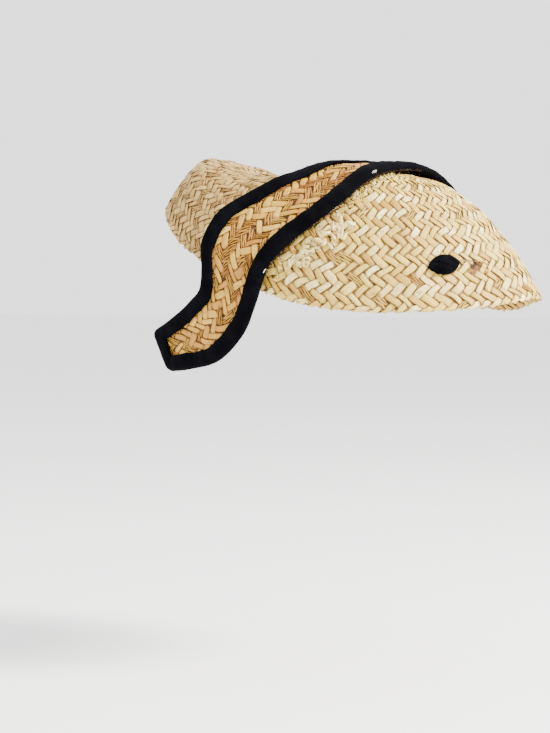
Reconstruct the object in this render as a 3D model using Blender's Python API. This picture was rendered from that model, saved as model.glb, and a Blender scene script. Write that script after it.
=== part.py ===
import bpy
import numpy as np

# Frame: origin at the inside of the crown's top, where a head touches it.
# The wearer faces -Y, the wearer's left is +X, up is +Z. Tables are in millimetres.
MM = 0.001

# Straw shell: one curved form, given by its plan outline and its rim
WALL = 1.8
HALF_WIDTH = 76.0
REAR_LENGTH = 103.5
FRONT_LENGTH = 106.5
# azimuth: 0 wearer's left, 90 back, 180 right, 270 front. z: rim height below the top.
# fullness: power of the fall from the top to the rim, larger is boxier.
RIM = [
    dict(azimuth=0, z=-67.0, fullness=4.6),
    dict(azimuth=22, z=-72.0, fullness=4.5),
    dict(azimuth=45, z=-73.0, fullness=4.1),
    dict(azimuth=68, z=-70.5, fullness=3.5),
    dict(azimuth=92, z=-66.0, fullness=3.1),
    dict(azimuth=112, z=-68.0, fullness=2.8),
    dict(azimuth=130, z=-73.0, fullness=2.6),
    dict(azimuth=152, z=-69.5, fullness=2.6),
    dict(azimuth=180, z=-66.0, fullness=2.8),
    dict(azimuth=205, z=-54.0, fullness=3.0),
    dict(azimuth=235, z=-33.0, fullness=3.8),
    dict(azimuth=265, z=-21.0, fullness=9.0),
    dict(azimuth=287, z=-22.0, fullness=8.0),
    dict(azimuth=298, z=-31.5, fullness=5.5),
    dict(azimuth=321, z=-48.0, fullness=4.4),
    dict(azimuth=342, z=-59.0, fullness=4.6),
]
# The front swells up into a rounded crest, with a dip behind it
FRONT = 270.0
CREST_RISE = 11.5
CREST_AT = 0.79
CREST_REACH = 0.17
CREST_SPREAD = 40.0
DIP_DEPTH = 4.8
DIP_AT = 0.33
DIP_REACH = 0.15
DIP_SPREAD = 60.0

# The crown's front edge, seen from above; the peak's back edge laps under it
SEAM = [
    dict(x=-80.0, y=51.0),
    dict(x=-66.0, y=45.0),
    dict(x=-48.0, y=37.5),
    dict(x=-26.0, y=31.0),
    dict(x=-4.0, y=26.0),
    dict(x=18.0, y=20.0),
    dict(x=38.0, y=10.0),
    dict(x=54.0, y=-4.0),
    dict(x=65.0, y=-17.0),
    dict(x=73.0, y=-28.5),
    dict(x=82.0, y=-43.0),
]
LAP = 7.0
LAP_GAP = 0.4
LAP_RAMP = 7.0
END_ANGLE = 3.0
SHELL_COLUMNS = 45
CROWN_RINGS = 13
PEAK_RINGS = 13

# Straw sash over the top, from the back right rim to the tail at the left temple.
# front and rear: its two edges. drape: 1 lies on the shell, 0 hangs free.
SASH_THICK = 1.2
SASH = [
    dict(front=(-70.5, 25.4, -60.4), rear=(-61.0, 56.2, -65.7), drape=1.0, front_lift=2.7, rear_lift=2.7),
    dict(front=(-63.0, 22.0, -44.1), rear=(-54.0, 54.5, -51.7), drape=1.0, front_lift=2.7, rear_lift=2.7),
    dict(front=(-47.0, 16.5, -19.0), rear=(-38.5, 50.0, -26.8), drape=1.0, front_lift=2.7, rear_lift=2.7),
    dict(front=(-28.0, 12.5, -3.2), rear=(-18.0, 45.5, -7.0), drape=1.0, front_lift=2.7, rear_lift=3.0),
    dict(front=(-5.6, 10.8, 2.4), rear=(4.0, 38.5, 1.1), drape=1.0, front_lift=2.7, rear_lift=4.0),
    dict(front=(16.5, 5.8, 2.8), rear=(25.0, 33.5, -0.3), drape=1.0, front_lift=2.8, rear_lift=3.6),
    dict(front=(37.5, -1.9, 0.9), rear=(44.9, 28.2, -5.8), drape=0.5, front_lift=3.4, rear_lift=4.0),
    dict(front=(53.6, -12.4, -5.1), rear=(60.7, 19.3, -20.1), drape=0.0, front_lift=0.0, rear_lift=0.0),
    dict(front=(63.7, -27.0, -14.0), rear=(69.1, 2.7, -34.5), drape=0.0, front_lift=0.0, rear_lift=0.0),
    dict(front=(71.8, -41.6, -25.5), rear=(75.2, -10.4, -49.1), drape=0.0, front_lift=0.0, rear_lift=0.0),
    dict(front=(76.3, -47.0, -39.8), rear=(78.4, -13.5, -60.2), drape=0.0, front_lift=0.0, rear_lift=0.0),
    dict(front=(77.7, -45.9, -51.6), rear=(79.7, -15.9, -68.7), drape=0.0, front_lift=0.0, rear_lift=0.0),
    dict(front=(76.9, -47.2, -61.7), rear=(79.4, -22.1, -82.5), drape=0.0, front_lift=0.0, rear_lift=0.0),
    dict(front=(74.1, -55.2, -69.3), rear=(77.2, -36.4, -96.3), drape=0.0, front_lift=0.0, rear_lift=0.0),
    dict(front=(67.9, -69.0, -77.6), rear=(72.1, -57.8, -102.1), drape=0.0, front_lift=0.0, rear_lift=0.0),
    dict(front=(61.8, -84.0, -85.0), rear=(65.5, -73.5, -103.5), drape=0.0, front_lift=0.0, rear_lift=0.0),
]
CORNER_RADIUS = 3.4
SASH_STATIONS = 56

# Velvet binding folded over the sash's edge, all the way round
BIND_REACH = 7.2
BIND_INNER_RADIUS = 0.5
BIND_WALL = 1.35
BIND_NOSE = 1.1
BIND_GAP = 0.3

# Leaf-shaped velvet tab on the crown's left rear
TAB_CENTRE = (44.2, 72.2)
TAB_TOWARDS = (37.8, 77.8)
TAB_LENGTH = 17.2
TAB_WIDTH = 10.8
TAB_POINTED = 0.55
TAB_RISE = 1.7
TAB_EDGE = 0.9
TAB_GAP = 0.35
TAB_SIDES = 28
TAB_RINGS = (0.3, 0.6, 0.82, 0.95, 1.0)


def smooth(knots, values, at):
    """Cubic curve through a table's rows, with slopes taken from the neighbouring rows."""
    knots = np.asarray(knots, float)
    values = np.asarray(values, float)
    at = np.asarray(at, float)
    if values.ndim == 1:
        return smooth(knots, values[:, None], at)[..., 0]
    step = np.diff(knots)[:, None]
    rise = np.diff(values, axis=0) / step
    slope = np.empty_like(values)
    slope[1:-1] = (rise[:-1] * step[1:] + rise[1:] * step[:-1]) / (step[:-1] + step[1:])
    slope[0] = 1.5 * rise[0] - 0.5 * slope[1]
    slope[-1] = 1.5 * rise[-1] - 0.5 * slope[-2]
    i = np.clip(np.searchsorted(knots, at) - 1, 0, len(step) - 1)
    span = step[i, 0]
    t = ((at - knots[i]) / span)[..., None]
    span = span[..., None]
    return (
        (2 * t**3 - 3 * t**2 + 1) * values[i]
        + (t**3 - 2 * t**2 + t) * span * slope[i]
        + (-2 * t**3 + 3 * t**2) * values[i + 1]
        + (t**3 - t**2) * span * slope[i + 1]
    )


def column(rows, name):
    return np.array([row[name] for row in rows], float)


def unit(v):
    return v / np.linalg.norm(v, axis=-1, keepdims=True)


def ramp(x):
    x = np.clip(x, 0.0, 1.0)
    return x * x * (3 - 2 * x)


# Shell form
rim_azimuth = column(RIM, "azimuth")
rim_azimuth = np.concatenate([rim_azimuth[-2:] - 360, rim_azimuth, rim_azimuth[:3] + 360])
rim_values = np.stack([column(RIM, "z"), column(RIM, "fullness")], axis=1)
rim_values = np.concatenate([rim_values[-2:], rim_values, rim_values[:3]])


def outline_radius(azimuth):
    length = np.where(np.sin(azimuth) > 0, REAR_LENGTH, FRONT_LENGTH)
    return 1 / np.hypot(np.cos(azimuth) / HALF_WIDTH, np.sin(azimuth) / length)


def height(x, y):
    """Height of the straw's outer face over the plan, from the rim table and the crest."""
    azimuth = np.arctan2(y, x)
    degrees = np.degrees(azimuth) % 360
    out = np.hypot(x, y) / outline_radius(azimuth)
    rim = smooth(rim_azimuth, rim_values, degrees)
    turn = (degrees - FRONT + 180) % 360 - 180
    crest = CREST_RISE * np.exp(-((out - CREST_AT) / CREST_REACH) ** 2 - (turn / CREST_SPREAD) ** 2)
    dip = DIP_DEPTH * np.exp(-((out - DIP_AT) / DIP_REACH) ** 2 - (turn / DIP_SPREAD) ** 2)
    return WALL + rim[..., 0] * out ** rim[..., 1] + crest - dip


def shell_normal(x, y):
    e = 0.05
    slope_x = (height(x + e, y) - height(x - e, y)) / (2 * e)
    slope_y = (height(x, y + e) - height(x, y - e)) / (2 * e)
    return unit(np.stack([-slope_x, -slope_y, np.ones_like(slope_x)], axis=-1))


def on_shell(x, y, lift):
    """Points a given distance along the normal from the straw's outer face."""
    place = np.stack([x, y, height(x, y)], axis=-1)
    return place + shell_normal(x, y) * np.asarray(lift)[..., None]


def rim_point(azimuth):
    radius = outline_radius(np.radians(azimuth))
    return np.stack([radius * np.cos(np.radians(azimuth)), radius * np.sin(np.radians(azimuth))], axis=-1)


# Seam between crown and peak
seam_x = column(SEAM, "x")
seam_y = column(SEAM, "y")


def seam_at(x):
    return smooth(seam_x, seam_y, x)


def behind_seam(x, y):
    """Distance behind the crown's front edge, seen from above."""
    slope = (seam_at(x + 0.1) - seam_at(x - 0.1)) / 0.2
    return (y - seam_at(x)) / np.hypot(1, slope)


def seam_place(x, shift):
    slope = (seam_at(x + 0.1) - seam_at(x - 0.1)) / 0.2
    side = unit(np.stack([-slope, np.ones_like(slope)], axis=-1))
    return np.stack([x, seam_at(x)], axis=-1) + side * shift


def seam_end(shift, inner, outer):
    """Where a line along the seam meets the rim, between two x values."""
    for _ in range(40):
        x = (inner + outer) / 2
        place = seam_place(np.array(x), shift)
        if np.hypot(*place) < outline_radius(np.arctan2(place[1], place[0])):
            inner = x
        else:
            outer = x
    return x


def seam_line(count, shift):
    """Line from rim to rim, left to right, a set distance behind the crown's front edge."""
    return seam_place(np.linspace(seam_end(shift, 30.0, 90.0), seam_end(shift, -30.0, -90.0), count), shift)


def azimuth_of(place):
    return np.degrees(np.arctan2(place[1], place[0])) % 360


# Sash form
front = column(SASH, "front")
rear = column(SASH, "rear")
front[:, 2] += WALL
rear[:, 2] += WALL
middle = (front + rear) / 2
run = np.concatenate([[0], np.cumsum(np.linalg.norm(np.diff(middle, axis=0), axis=1))])
SASH_LENGTH = run[-1]
sash_rows = np.concatenate(
    [
        front,
        rear,
        column(SASH, "drape")[:, None],
        column(SASH, "front_lift")[:, None],
        column(SASH, "rear_lift")[:, None],
    ],
    axis=1,
)


def sash_point(along, v):
    """Middle of the sash's thickness; v runs from -1 at the front edge to +1 at the rear edge."""
    along, v = np.broadcast_arrays(np.asarray(along, float), np.asarray(v, float))
    row = smooth(run, sash_rows, along)
    k = ((1 + v) / 2)[..., None]
    free = row[..., 0:3] * (1 - k) + row[..., 3:6] * k
    lift = row[..., 7] * (1 - k[..., 0]) + row[..., 8] * k[..., 0]
    drape = np.clip(row[..., 6:7], 0, 1)
    draped = on_shell(free[..., 0], free[..., 1], lift)
    return free * (1 - drape) + draped * drape


def half_width(along):
    return np.linalg.norm(sash_point(along, 1.0) - sash_point(along, -1.0), axis=-1) / 2


def sash_at(along, across):
    """Sash surface by flat-pattern distances, carried on straight past its ends."""
    inside = np.clip(along, 0, SASH_LENGTH)
    place = sash_point(inside, across / half_width(inside))
    e = 0.05
    ahead = np.clip(inside + e, 0, SASH_LENGTH)
    behind = np.clip(inside - e, 0, SASH_LENGTH)
    step = sash_point(ahead, across / half_width(inside)) - sash_point(behind, across / half_width(inside))
    return place + unit(step) * (along - inside)[..., None]


def sash_normal(along, across):
    e = 0.2
    run_way = sash_at(along + e, across) - sash_at(along - e, across)
    cross_way = sash_at(along, across + e) - sash_at(along, across - e)
    return unit(np.cross(run_way, cross_way))


def finish(name, verts, faces, slot):
    mesh = bpy.data.meshes.new(name)
    mesh.from_pydata([tuple(v) for v in np.asarray(verts) * MM], [], faces)
    mesh.update()
    mesh.materials.append(slot)
    obj = bpy.data.objects.new(name, mesh)
    bpy.context.scene.collection.objects.link(obj)
    return obj


def material(name, colour, roughness):
    slot = bpy.data.materials.new(name)
    slot.use_nodes = True
    shader = slot.node_tree.nodes["Principled BSDF"]
    shader.inputs["Base Color"].default_value = (*colour, 1.0)
    shader.inputs["Roughness"].default_value = roughness
    shader.inputs["Metallic"].default_value = 0.0
    return slot


def slab(name, outer, inner, slot):
    """Closed solid between two matching grids of points."""
    rows, cols = outer.shape[:2]
    verts = np.concatenate([outer.reshape(-1, 3), inner.reshape(-1, 3)])
    below = rows * cols
    faces = []
    for i in range(rows - 1):
        for j in range(cols - 1):
            a, b = i * cols + j, (i + 1) * cols + j
            faces.append((a, b, b + 1, a + 1))
            faces.append((below + a + 1, below + b + 1, below + b, below + a))
    loop = [i * cols for i in range(rows)]
    loop += [(rows - 1) * cols + j for j in range(1, cols)]
    loop += [i * cols + cols - 1 for i in range(rows - 2, -1, -1)]
    loop += [j for j in range(cols - 2, 0, -1)]
    for a, b in zip(loop, loop[1:] + loop[:1]):
        faces.append((b, a, below + a, below + b))
    return finish(name, verts, faces, slot)


def shell_piece(name, lines, rim_edge, spread, tuck, slot):
    """Piece of the straw shell from lines along the seam out to a stretch of the rim."""
    k = spread[None, 1:, None]
    plan = np.concatenate([np.stack(lines, axis=1), lines[-1][:, None] * (1 - k) + rim_edge[:, None] * k], axis=1)
    x, y = plan[..., 0], plan[..., 1]
    sunk = tuck(x, y)
    return slab(name, on_shell(x, y, -sunk), on_shell(x, y, -sunk - WALL), slot)


for old in list(bpy.data.objects):
    bpy.data.objects.remove(old, do_unlink=True)

crown_straw = material("crown_straw", (0.80, 0.67, 0.41), 0.62)
peak_straw = material("peak_straw", (0.66, 0.55, 0.35), 0.66)
sash_straw = material("sash_straw", (0.70, 0.47, 0.24), 0.66)
binding_velvet = material("binding_velvet", (0.010, 0.010, 0.016), 0.92)
tab_velvet = material("tab_velvet", (0.012, 0.012, 0.018), 0.9)

# Crown: rear cap from the seam back to the rim
ease = np.linspace(0, 1, SHELL_COLUMNS)[:, None]
crown_lines = [seam_line(SHELL_COLUMNS, shift)[::-1] for shift in (0.0, LAP + 0.5)]
start = azimuth_of(crown_lines[-1][0]) - END_ANGLE
end = azimuth_of(crown_lines[-1][-1]) - 360 + END_ANGLE
crown_rim = rim_point((start + (end - start) * ease)[:, 0])
spread = np.linspace(0, 1, CROWN_RINGS) ** 0.85
shell_piece("crown", crown_lines, crown_rim, spread, lambda x, y: np.zeros_like(x), crown_straw)


# Peak: front lobe, its back edge sunk by one wall where it laps under the crown
def peak_tuck(x, y):
    return (WALL + LAP_GAP) * ramp((behind_seam(x, y) + LAP_RAMP) / (LAP_RAMP - 1.0))


peak_lines = [seam_line(SHELL_COLUMNS, shift) for shift in (LAP, -1.0, -4.0, -LAP_RAMP - 0.5)]
start = azimuth_of(peak_lines[-1][0]) - END_ANGLE
end = azimuth_of(peak_lines[-1][-1]) + END_ANGLE
peak_rim = rim_point((start + (end - start) * ease)[:, 0])
spread = np.linspace(0, 1, PEAK_RINGS) ** 0.9
shell_piece("front_peak", peak_lines, peak_rim, spread, peak_tuck, peak_straw)


# Sash: flat strip with rounded ends, bent over the shell
def rounded_half(along):
    """Half width of the sash with its corners rounded off."""
    to_end = np.minimum(along, SASH_LENGTH - along)
    cut = CORNER_RADIUS - np.sqrt(np.maximum(CORNER_RADIUS**2 - np.maximum(CORNER_RADIUS - to_end, 0) ** 2, 0))
    return half_width(along) - cut


corner_turn = np.radians(np.linspace(0, 90, 6))
near_end = CORNER_RADIUS * (1 - np.cos(corner_turn))
straight = np.linspace(CORNER_RADIUS, SASH_LENGTH - CORNER_RADIUS, SASH_STATIONS)
stations = np.concatenate([near_end, straight[1:-1], SASH_LENGTH - near_end[::-1]])
edge = rounded_half(stations)[:, None]
inside = np.maximum(edge - BIND_REACH - 0.4, edge * 0.4)
across = np.concatenate([-edge, -inside, -inside * 0.4, inside * 0.4, inside, edge], axis=1)
along = np.broadcast_to(stations[:, None], across.shape)
mid = sash_at(along, across)
lift = sash_normal(along, across) * SASH_THICK / 2
slab("sash", mid + lift, mid - lift, sash_straw)

# Binding: a folded section carried round the sash's edge
INSET = BIND_REACH + BIND_INNER_RADIUS
CORNER_SHARES = np.linspace(0, 1, 9)[1:]


def end_path(end, way, side):
    """Stations round one end of the sash, from one rail to the other; the inner edge turns tighter."""
    leg = INSET - CORNER_RADIUS
    bend = CORNER_RADIUS * np.pi / 2
    out = []
    for share in CORNER_SHARES:
        gone = share * (2 * leg + bend)
        turn = np.clip((gone - leg) / CORNER_RADIUS, 0, np.pi / 2)
        from_end = CORNER_RADIUS * (1 - np.sin(turn)) + max(leg - gone, 0)
        from_side = CORNER_RADIUS * (1 - np.cos(turn)) + max(gone - leg - bend, 0)
        inner_end = BIND_REACH + BIND_INNER_RADIUS * (1 - np.sin(share * np.pi / 2))
        inner_side = BIND_REACH + BIND_INNER_RADIUS * (1 - np.cos(share * np.pi / 2))
        s = end - way * from_end
        c = half_width(s) - from_side
        to_end = (inner_end - from_end) / BIND_REACH
        to_side = (inner_side - from_side) / BIND_REACH
        out.append((s, side * c, -way * to_end, -side * to_side))
    flat = [(end, c, -way, 0.0) for c in np.linspace(out[-1][1], -out[-1][1], 6)[1:-1]]
    back = [(s, -c, ds, -dc) for s, c, ds, dc in out[::-1]]
    return out + flat + back


rails = np.linspace(INSET, SASH_LENGTH - INSET, SASH_STATIONS)
path = [(s, half_width(s), 0.0, -1.0) for s in rails]
path += end_path(SASH_LENGTH, 1, 1)
path += [(s, -half_width(s), 0.0, 1.0) for s in rails[::-1]]
path += end_path(0.0, -1, -1)
path = np.array(path)

slot_half = SASH_THICK / 2 + BIND_GAP
skin_half = slot_half + BIND_WALL
# inward distance from the sash's edge, height above the sash's middle
section = [
    (BIND_REACH, slot_half),
    (BIND_REACH, skin_half - 0.35),
    (BIND_REACH - 0.5, skin_half),
    (0.6, skin_half),
    (-0.8, skin_half * 0.62),
    (-BIND_NOSE - 0.2, 0.0),
    (-0.8, -skin_half * 0.62),
    (0.6, -skin_half),
    (BIND_REACH - 0.5, -skin_half),
    (BIND_REACH, -skin_half + 0.35),
    (BIND_REACH, -slot_half),
    (-BIND_GAP, -slot_half),
    (-BIND_GAP, slot_half),
]
rings = []
for inward, level in section:
    s = path[:, 0] + path[:, 2] * inward
    c = path[:, 1] + path[:, 3] * inward
    rings.append(sash_at(s, c) + sash_normal(s, c) * level)
rings = np.stack(rings, axis=1)
count, sides = rings.shape[:2]
faces = []
for i in range(count):
    for j in range(sides):
        a, b = i * sides + j, ((i + 1) % count) * sides + j
        c, d = ((i + 1) % count) * sides + (j + 1) % sides, i * sides + (j + 1) % sides
        faces.append((a, b, c, d))
finish("sash_binding", rings.reshape(-1, 3), faces, binding_velvet)

# Tab: a padded leaf lying on the crown
centre = on_shell(np.array(TAB_CENTRE[0]), np.array(TAB_CENTRE[1]), 0.0)
towards = on_shell(np.array(TAB_TOWARDS[0]), np.array(TAB_TOWARDS[1]), 0.0)
tab_normal = shell_normal(np.array(TAB_CENTRE[0]), np.array(TAB_CENTRE[1]))
tab_long = towards - centre
tab_long = unit(tab_long - tab_normal * (tab_long @ tab_normal))
tab_wide = np.cross(tab_normal, tab_long)
turns = np.linspace(0, 2 * np.pi, TAB_SIDES, endpoint=False)
leaf_x = TAB_LENGTH / 2 * np.cos(turns)
leaf_y = TAB_WIDTH / 2 * np.sin(turns) * np.abs(np.sin(turns)) ** TAB_POINTED


def tab_point(a, b, lift):
    """Plane coordinates of the leaf carried along its normal onto the shell."""
    place = centre + a * tab_long + b * tab_wide
    for _ in range(12):
        miss = place[2] - height(place[0], place[1])
        place = place - shell_normal(place[0], place[1]) * miss * tab_normal[2]
    return place + shell_normal(place[0], place[1]) * lift


top = [tab_point(0, 0, TAB_GAP + TAB_EDGE + TAB_RISE)]
bottom = [tab_point(0, 0, TAB_GAP)]
for ring in TAB_RINGS:
    rise = TAB_EDGE * ramp((1.06 - ring) / 0.14) + TAB_RISE * (1 - ring**2.2)
    for a, b in zip(leaf_x, leaf_y):
        top.append(tab_point(a * ring, b * ring, TAB_GAP + max(rise, 0.25)))
        bottom.append(tab_point(a * ring, b * ring, TAB_GAP))
offset = len(top)
faces = []
for j in range(TAB_SIDES):
    k = (j + 1) % TAB_SIDES
    faces.append((0, 1 + j, 1 + k))
    faces.append((offset, offset + 1 + k, offset + 1 + j))
    for ring in range(len(TAB_RINGS) - 1):
        a, b = 1 + ring * TAB_SIDES, 1 + (ring + 1) * TAB_SIDES
        faces.append((a + j, b + j, b + k, a + k))
        faces.append((offset + a + k, offset + b + k, offset + b + j, offset + a + j))
    edge = 1 + (len(TAB_RINGS) - 1) * TAB_SIDES
    faces.append((edge + k, edge + j, offset + edge + j, offset + edge + k))
finish("velvet_tab", top + bottom, faces, tab_velvet)
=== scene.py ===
import bpy
import numpy as np
from mathutils import Matrix, Vector


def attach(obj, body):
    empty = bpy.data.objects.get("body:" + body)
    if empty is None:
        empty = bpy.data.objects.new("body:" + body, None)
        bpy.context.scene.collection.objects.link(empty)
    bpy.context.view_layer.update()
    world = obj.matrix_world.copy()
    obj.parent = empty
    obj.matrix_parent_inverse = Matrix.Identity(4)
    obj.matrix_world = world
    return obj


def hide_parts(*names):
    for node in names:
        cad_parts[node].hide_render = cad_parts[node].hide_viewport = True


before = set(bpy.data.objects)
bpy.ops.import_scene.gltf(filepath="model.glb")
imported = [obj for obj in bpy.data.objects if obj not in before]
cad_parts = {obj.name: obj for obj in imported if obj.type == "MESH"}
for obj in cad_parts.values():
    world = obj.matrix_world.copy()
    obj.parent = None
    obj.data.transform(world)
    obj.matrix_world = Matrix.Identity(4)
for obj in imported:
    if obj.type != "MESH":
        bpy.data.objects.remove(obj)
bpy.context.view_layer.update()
print("frame loaded")

# Sizes below are in millimetres, the frame is in metres. The wearer faces -Y, the wearer's left is +X.
metre = 0.001
scene = bpy.context.scene

# The straw shell, as the solids have it
shell = dict(wall=1.8, halfWidth=76.0, rear=103.5, front=106.5)
crest = dict(azimuth=270.0, rise=11.5, at=0.79, reach=0.17, spread=40.0)
dip = dict(depth=4.8, at=0.33, reach=0.15, spread=60.0)
# Rim: azimuth, height and fullness; seam: x and y of the crown's front edge
rimTable = [
    (0, -67.0, 4.6), (22, -72.0, 4.5), (45, -73.0, 4.1), (68, -70.5, 3.5),
    (92, -66.0, 3.1), (112, -68.0, 2.8), (130, -73.0, 2.6), (152, -69.5, 2.6),
    (180, -66.0, 2.8), (205, -54.0, 3.0), (235, -33.0, 3.8), (265, -21.0, 9.0),
    (287, -22.0, 8.0), (298, -31.5, 5.5), (321, -48.0, 4.4), (342, -59.0, 4.6),
]
seamTable = [
    (-80.0, 51.0), (-66.0, 45.0), (-48.0, 37.5), (-26.0, 31.0), (-4.0, 26.0), (18.0, 20.0),
    (38.0, 10.0), (54.0, -4.0), (65.0, -17.0), (73.0, -28.5), (82.0, -43.0),
]
lap = dict(gap=0.4, ramp=7.0)

# The sash, a row for each section: front edge, rear edge, how far it lies on the shell, edge lifts
sashTable = [
    (-70.5, 25.4, -60.4, -61.0, 56.2, -65.7, 1.0, 2.7, 2.7),
    (-63.0, 22.0, -44.1, -54.0, 54.5, -51.7, 1.0, 2.7, 2.7),
    (-47.0, 16.5, -19.0, -38.5, 50.0, -26.8, 1.0, 2.7, 2.7),
    (-28.0, 12.5, -3.2, -18.0, 45.5, -7.0, 1.0, 2.7, 3.0),
    (-5.6, 10.8, 2.4, 4.0, 38.5, 1.1, 1.0, 2.7, 4.0),
    (16.5, 5.8, 2.8, 25.0, 33.5, -0.3, 1.0, 2.8, 3.6),
    (37.5, -1.9, 0.9, 44.9, 28.2, -5.8, 0.5, 3.4, 4.0),
    (53.6, -12.4, -5.1, 60.7, 19.3, -20.1, 0, 0, 0),
    (63.7, -27.0, -14.0, 69.1, 2.7, -34.5, 0, 0, 0),
    (71.8, -41.6, -25.5, 75.2, -10.4, -49.1, 0, 0, 0),
    (76.3, -47.0, -39.8, 78.4, -13.5, -60.2, 0, 0, 0),
    (77.7, -45.9, -51.6, 79.7, -15.9, -68.7, 0, 0, 0),
    (76.9, -47.2, -61.7, 79.4, -22.1, -82.5, 0, 0, 0),
    (74.1, -55.2, -69.3, 77.2, -36.4, -96.3, 0, 0, 0),
    (67.9, -69.0, -77.6, 72.1, -57.8, -102.1, 0, 0, 0),
    (61.8, -84.0, -85.0, 65.5, -73.5, -103.5, 0, 0, 0),
]
cornerRadius = 3.4


def smoothRows(knots, values, at):
    # cubic curve through a table's rows
    knots, values, at = (np.asarray(item, float) for item in (knots, values, at))
    if values.ndim == 1:
        return smoothRows(knots, values[:, None], at)[..., 0]
    step = np.diff(knots)[:, None]
    rise = np.diff(values, axis=0) / step
    slope = np.empty_like(values)
    slope[1:-1] = (rise[:-1] * step[1:] + rise[1:] * step[:-1]) / (step[:-1] + step[1:])
    slope[0] = 1.5 * rise[0] - 0.5 * slope[1]
    slope[-1] = 1.5 * rise[-1] - 0.5 * slope[-2]
    i = np.clip(np.searchsorted(knots, at) - 1, 0, len(step) - 1)
    span = step[i, 0]
    t = ((at - knots[i]) / span)[..., None]
    span = span[..., None]
    return (
        (2 * t**3 - 3 * t**2 + 1) * values[i]
        + (t**3 - 2 * t**2 + t) * span * slope[i]
        + (-2 * t**3 + 3 * t**2) * values[i + 1]
        + (t**3 - t**2) * span * slope[i + 1]
    )


def unit(v):
    return v / np.maximum(np.linalg.norm(v, axis=-1, keepdims=True), 1e-9)


def ease(x):
    x = np.clip(x, 0.0, 1.0)
    return x * x * (3 - 2 * x)


rimRows = np.array(rimTable, float)
rimRows = np.concatenate([rimRows[-2:] - (360, 0, 0), rimRows, rimRows[:3] + (360, 0, 0)])
seamRows = np.array(seamTable, float)


def outlineRadius(azimuth):
    length = np.where(np.sin(azimuth) > 0, shell["rear"], shell["front"])
    return 1 / np.hypot(np.cos(azimuth) / shell["halfWidth"], np.sin(azimuth) / length)


def shellHeight(x, y):
    azimuth = np.arctan2(y, x)
    degrees = np.degrees(azimuth) % 360
    out = np.hypot(x, y) / outlineRadius(azimuth)
    rim = smoothRows(rimRows[:, 0], rimRows[:, 1:], degrees)
    turn = (degrees - crest["azimuth"] + 180) % 360 - 180
    swell = crest["rise"] * np.exp(
        -((out - crest["at"]) / crest["reach"]) ** 2 - (turn / crest["spread"]) ** 2
    )
    hollow = dip["depth"] * np.exp(-((out - dip["at"]) / dip["reach"]) ** 2 - (turn / dip["spread"]) ** 2)
    return shell["wall"] + rim[..., 0] * out ** rim[..., 1] + swell - hollow


def shellNormal(x, y):
    e = 0.05
    slopeX = (shellHeight(x + e, y) - shellHeight(x - e, y)) / (2 * e)
    slopeY = (shellHeight(x, y + e) - shellHeight(x, y - e)) / (2 * e)
    return unit(np.stack([-slopeX, -slopeY, np.ones_like(slopeX)], axis=-1))


def onShell(x, y, lift):
    place = np.stack([x, y, shellHeight(x, y)], axis=-1)
    return place + shellNormal(x, y) * np.asarray(lift)[..., None]


def rimPlan(degrees):
    azimuth = np.radians(degrees)
    return outlineRadius(azimuth)[..., None] * np.stack([np.cos(azimuth), np.sin(azimuth)], axis=-1)


def behindSeam(x, y):
    # distance behind the crown's front edge, seen from above
    at = smoothRows(seamRows[:, 0], seamRows[:, 1], x)
    slope = (smoothRows(seamRows[:, 0], seamRows[:, 1], x + 0.1) - at) / 0.1
    return (y - at) / np.hypot(1, slope)


def peakTuck(x, y):
    # the peak sinks by one wall where it laps under the crown
    return (shell["wall"] + lap["gap"]) * ease((behindSeam(x, y) + lap["ramp"]) / (lap["ramp"] - 1.0))


sashRows = np.array(sashTable) + shell["wall"] * np.array([0, 0, 1, 0, 0, 1, 0, 0, 0])
sashSteps = np.linalg.norm(np.diff((sashRows[:, 0:3] + sashRows[:, 3:6]) / 2, axis=0), axis=1)
sashRun = np.concatenate([[0], np.cumsum(sashSteps)])
sashLength = sashRun[-1]


def sashPoint(along, v):
    # middle of the sash's thickness; v runs from -1 at the front edge to +1 at the rear edge
    along, v = np.broadcast_arrays(np.asarray(along, float), np.asarray(v, float))
    row = smoothRows(sashRun, sashRows, along)
    k = (1 + v) / 2
    free = row[..., 0:3] * (1 - k)[..., None] + row[..., 3:6] * k[..., None]
    drape = np.clip(row[..., 6:7], 0, 1)
    draped = onShell(free[..., 0], free[..., 1], row[..., 7] * (1 - k) + row[..., 8] * k)
    return free * (1 - drape) + draped * drape


def sashHalf(along):
    return np.linalg.norm(sashPoint(along, 1.0) - sashPoint(along, -1.0), axis=-1) / 2


halfKnots = np.linspace(0, sashLength, 400)
halfValues = sashHalf(halfKnots)


def sashAt(along, across):
    # place by flat distances along the strip and across it, carried on straight past its ends
    inside = np.clip(along, 0.06, sashLength - 0.06)
    half = np.interp(inside, halfKnots, halfValues)
    step = sashPoint(inside + 0.05, across / half) - sashPoint(inside - 0.05, across / half)
    return sashPoint(inside, across / half) + unit(step) * (along - inside)[..., None]


def sashNormal(along, across):
    e = 0.2
    runWay = sashAt(along + e, across) - sashAt(along - e, across)
    crossWay = sashAt(along, across + e) - sashAt(along, across - e)
    return unit(np.cross(runWay, crossWay))


def roundedHalf(along):
    toEnd = np.clip(np.minimum(along, sashLength - along), 0, None)
    short = np.maximum(cornerRadius - toEnd, 0)
    cut = cornerRadius - np.sqrt(np.maximum(cornerRadius**2 - short**2, 0))
    return np.interp(along, halfKnots, halfValues) - cut


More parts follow.
